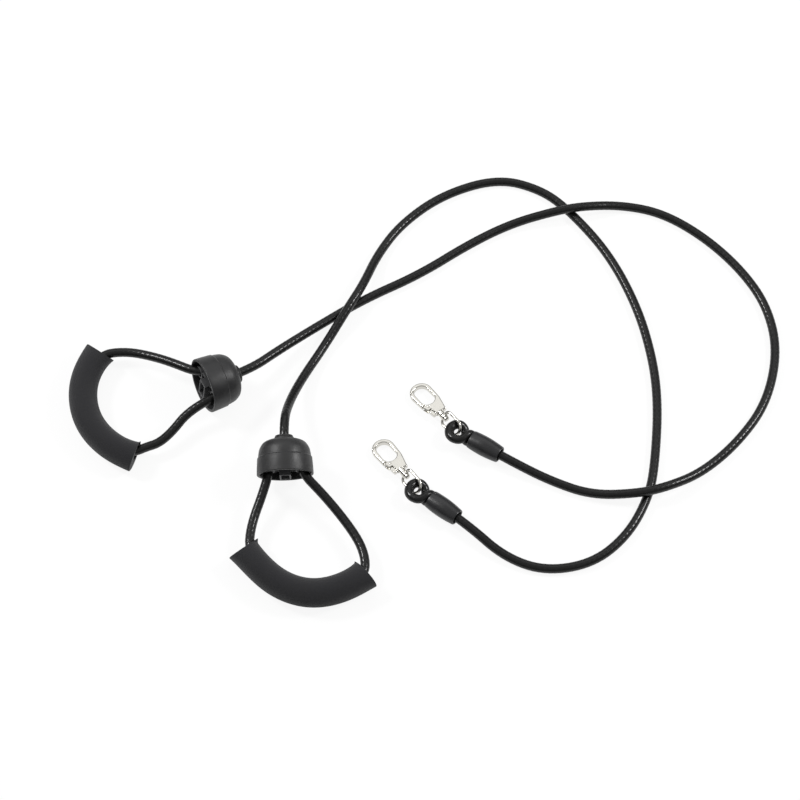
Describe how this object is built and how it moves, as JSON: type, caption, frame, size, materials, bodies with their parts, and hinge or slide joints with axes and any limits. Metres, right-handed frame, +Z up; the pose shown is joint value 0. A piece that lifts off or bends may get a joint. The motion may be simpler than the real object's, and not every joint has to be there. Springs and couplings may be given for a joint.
{
  "type": "resistance band",
  "caption": "Pair of elastic resistance bands, each with a foam hand grip on a cord loop, a bell stopper, a long braided cord and a swivelling snap hook.",
  "frame": {"origin": "on the table, under the middle of the box round the grips, bells, sleeves and hooks (the free cords left out)", "axes": "+Z up, +X from the grips to the hooks, table at z = 0"},
  "size_m": [0.6298, 0.4422, 0.0512],
  "materials": {
    "foam": "matte closed-cell foam",
    "cord": "braided elastic cord sheath",
    "moulded_rubber": "satin moulded rubber",
    "core_plastic": "moulded nylon",
    "ferrule_metal": "plain",
    "nickel_plate": "polished nickel plate",
    "spring_steel": "plain"
  },
  "bodies": {
    "root": {"left_loop_cord": "cord", "left_loop_core": "core_plastic", "left_loop_ferrule": "ferrule_metal", "left_main_cord": "cord", "left_end_sleeve": "moulded_rubber", "left_eye_ferrule": "ferrule_metal", "left_eye_cord": "cord", "right_loop_cord": "cord", "right_loop_core": "core_plastic", "right_loop_ferrule": "ferrule_metal", "right_main_cord": "cord", "right_end_sleeve": "moulded_rubber", "right_eye_ferrule": "ferrule_metal", "right_eye_cord": "cord"},
    "left_grip": {"left_grip_sleeve": "foam"},
    "left_bell": {"left_stopper_bell": "moulded_rubber", "left_neck_bush": "moulded_rubber"},
    "left_eye_swivel": {"left_swivel_eye": "nickel_plate"},
    "left_hook": {"left_hook_body": "nickel_plate", "left_swivel_rivet": "nickel_plate", "left_gate_pin": "nickel_plate", "left_gate_spring": "spring_steel"},
    "left_gate": {"left_hook_gate": "nickel_plate"},
    "right_grip": {"right_grip_sleeve": "foam"},
    "right_bell": {"right_stopper_bell": "moulded_rubber", "right_neck_bush": "moulded_rubber"},
    "right_eye_swivel": {"right_swivel_eye": "nickel_plate"},
    "right_hook": {"right_hook_body": "nickel_plate", "right_swivel_rivet": "nickel_plate", "right_gate_pin": "nickel_plate", "right_gate_spring": "spring_steel"},
    "right_gate": {"right_hook_gate": "nickel_plate"}
  },
  "joints": [
    {"name": "left_grip_creep", "type": "hinge", "parent": "root", "child": "left_grip", "pos_m": [-0.1118, 0.0801, 0.0125], "axis": [0, 0, 1], "range_deg": [-3, 3]},
    {"name": "left_bell_spin", "type": "hinge", "parent": "root", "child": "left_bell", "pos_m": [-0.0729, 0.0785, 0.0254], "axis": [0.8823, 0.4496, -0.1392], "continuous": true},
    {"name": "left_hook_lift", "type": "hinge", "parent": "root", "child": "left_eye_swivel", "pos_m": [0.14549, 0.04792, 0.0087], "axis": [0.788, 0.6157, 0], "range_deg": [0, 30]},
    {"name": "left_hook_swivel", "type": "hinge", "parent": "left_eye_swivel", "child": "left_hook", "pos_m": [0.14549, 0.04792, 0.0087], "axis": [-0.6119, 0.7832, -0.1103], "continuous": true},
    {"name": "left_gate_hinge", "type": "hinge", "parent": "left_hook", "child": "left_gate", "pos_m": [0.12442, 0.06741, 0.00556], "axis": [0.0679, -0.0869, -0.9939], "range_deg": [0, 19], "stiffness_Nm_per_rad": 0.01, "springref_deg": -20.05},
    {"name": "right_grip_creep", "type": "hinge", "parent": "root", "child": "right_grip", "pos_m": [0.0298, -0.0493, 0.0125], "axis": [0, 0, 1], "range_deg": [-3, 3]},
    {"name": "right_bell_spin", "type": "hinge", "parent": "root", "child": "right_bell", "pos_m": [0.0005, -0.0089, 0.0234], "axis": [-0.0417, 0.9554, 0.2924], "continuous": true},
    {"name": "right_hook_lift", "type": "hinge", "parent": "root", "child": "right_eye_swivel", "pos_m": [0.11081, -0.00973, 0.0087], "axis": [0.8141, 0.5807, 0], "range_deg": [0, 30]},
    {"name": "right_hook_swivel", "type": "hinge", "parent": "right_eye_swivel", "child": "right_hook", "pos_m": [0.11081, -0.00973, 0.0087], "axis": [-0.5772, 0.8091, -0.1103], "continuous": true},
    {"name": "right_gate_hinge", "type": "hinge", "parent": "right_hook", "child": "right_gate", "pos_m": [0.09062, 0.01065, 0.00556], "axis": [0.0641, -0.0898, -0.9939], "range_deg": [0, 19], "stiffness_Nm_per_rad": 0.01, "springref_deg": -20.05}
  ]
}
